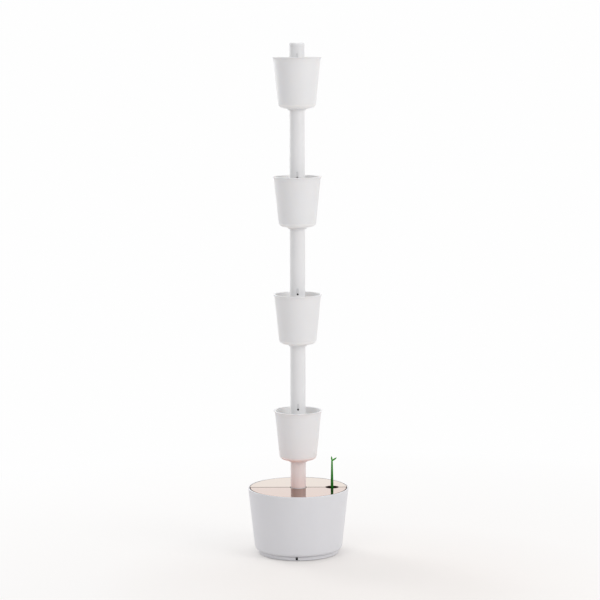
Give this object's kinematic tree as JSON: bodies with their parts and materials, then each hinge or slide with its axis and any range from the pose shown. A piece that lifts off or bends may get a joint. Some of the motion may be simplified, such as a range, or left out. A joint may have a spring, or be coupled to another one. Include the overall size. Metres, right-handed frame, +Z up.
{
  "type": "vertical planter tower",
  "caption": "Slim round post rising from a lidded round water tank, with tapered pots threaded on it and a sprout-shaped level indicator.",
  "frame": {"origin": "floor level on the post's axis, under the middle of the tank", "axes": "+Z up along the post, front with the power inlet towards -Y, filling hole towards +X"},
  "size_m": [0.3064, 0.3064, 1.5508],
  "materials": {
    "shell": "satin",
    "copper_mirror": "polished copper tint",
    "lid_board": "matte",
    "sprout_green": "gloss",
    "foot_rubber": "matte",
    "inner_plastic": "satin",
    "pump_plastic": "satin",
    "hose_plastic": "soft gloss",
    "circuit_board": "lacquered"
  },
  "bodies": {
    "tower": {"base_tub": "shell", "foot_ring": "shell", "base_plate": "inner_plastic", "power_inlet": "pump_plastic", "control_board": "circuit_board", "column_socket": "inner_plastic", "pump_contact": "pump_plastic", "pump_body": "pump_plastic", "pump_cover": "pump_plastic", "pump_strainer": "pump_plastic", "float_guide": "inner_plastic", "rubber_foot_1": "foot_rubber", "rubber_foot_2": "foot_rubber", "rubber_foot_3": "foot_rubber", "rubber_foot_4": "foot_rubber", "rubber_foot_5": "foot_rubber", "rubber_foot_6": "foot_rubber", "post_tube_1": "shell", "post_tube_2": "shell", "post_tube_3": "shell", "post_tube_4": "shell", "post_tube_5": "shell", "post_coupler_1": "inner_plastic", "support_ring_1": "shell", "outlet_tee_1": "shell", "riser_hose_1": "hose_plastic", "post_coupler_2": "inner_plastic", "support_ring_2": "shell", "outlet_tee_2": "shell", "riser_hose_2": "hose_plastic", "post_coupler_3": "inner_plastic", "support_ring_3": "shell", "outlet_tee_3": "shell", "riser_hose_3": "hose_plastic", "post_coupler_4": "inner_plastic", "support_ring_4": "shell", "outlet_tee_4": "shell", "riser_hose_4": "hose_plastic"},
    "impeller": {"pump_impeller": "inner_plastic"},
    "indicator": {"level_float": "inner_plastic", "level_sprout": "sprout_green"},
    "lid_front": {"lid_front_board": "lid_board", "lid_front_mirror": "copper_mirror"},
    "lid_back": {"lid_back_board": "lid_board", "lid_back_mirror": "copper_mirror"},
    "cap": {"top_cap": "shell"},
    "pot_1_turning": {"pot_1": "shell", "pot_hub_1": "shell", "drain_grid_1": "inner_plastic"},
    "pot_2_turning": {"pot_2": "shell", "pot_hub_2": "shell", "drain_grid_2": "inner_plastic"},
    "pot_3_turning": {"pot_3": "shell", "pot_hub_3": "shell", "drain_grid_3": "inner_plastic"},
    "pot_4_turning": {"pot_4": "shell", "pot_hub_4": "shell", "drain_grid_4": "inner_plastic"}
  },
  "joints": [
    {"name": "lid_front_lift", "type": "slide", "parent": "tower", "child": "lid_front", "axis": [0, 0, 1], "range_m": [0, 0.06]},
    {"name": "lid_back_lift", "type": "slide", "parent": "tower", "child": "lid_back", "axis": [0, 0, 1], "range_m": [0, 0.06]},
    {"name": "level_rise", "type": "slide", "parent": "tower", "child": "indicator", "axis": [0, 0, 1], "range_m": [0, 0.095]},
    {"name": "cap_pull", "type": "slide", "parent": "tower", "child": "cap", "axis": [0, 0, 1], "range_m": [0, 0.04]},
    {"name": "impeller_spin", "type": "hinge", "parent": "tower", "child": "impeller", "pos_m": [0, -0.078, 0.06], "axis": [0, 0, 1], "continuous": true},
    {"name": "pot_1_turn", "type": "hinge", "parent": "tower", "child": "pot_1_turning", "pos_m": [0, 0, 1.4276], "axis": [0, 0, 1], "continuous": true},
    {"name": "pot_2_turn", "type": "hinge", "parent": "tower", "child": "pot_2_turning", "pos_m": [0, 0, 1.0716], "axis": [0, 0, 1], "continuous": true},
    {"name": "pot_3_turn", "type": "hinge", "parent": "tower", "child": "pot_3_turning", "pos_m": [0, 0, 0.7156], "axis": [0, 0, 1], "continuous": true},
    {"name": "pot_4_turn", "type": "hinge", "parent": "tower", "child": "pot_4_turning", "pos_m": [0, 0, 0.3596], "axis": [0, 0, 1], "continuous": true}
  ]
}
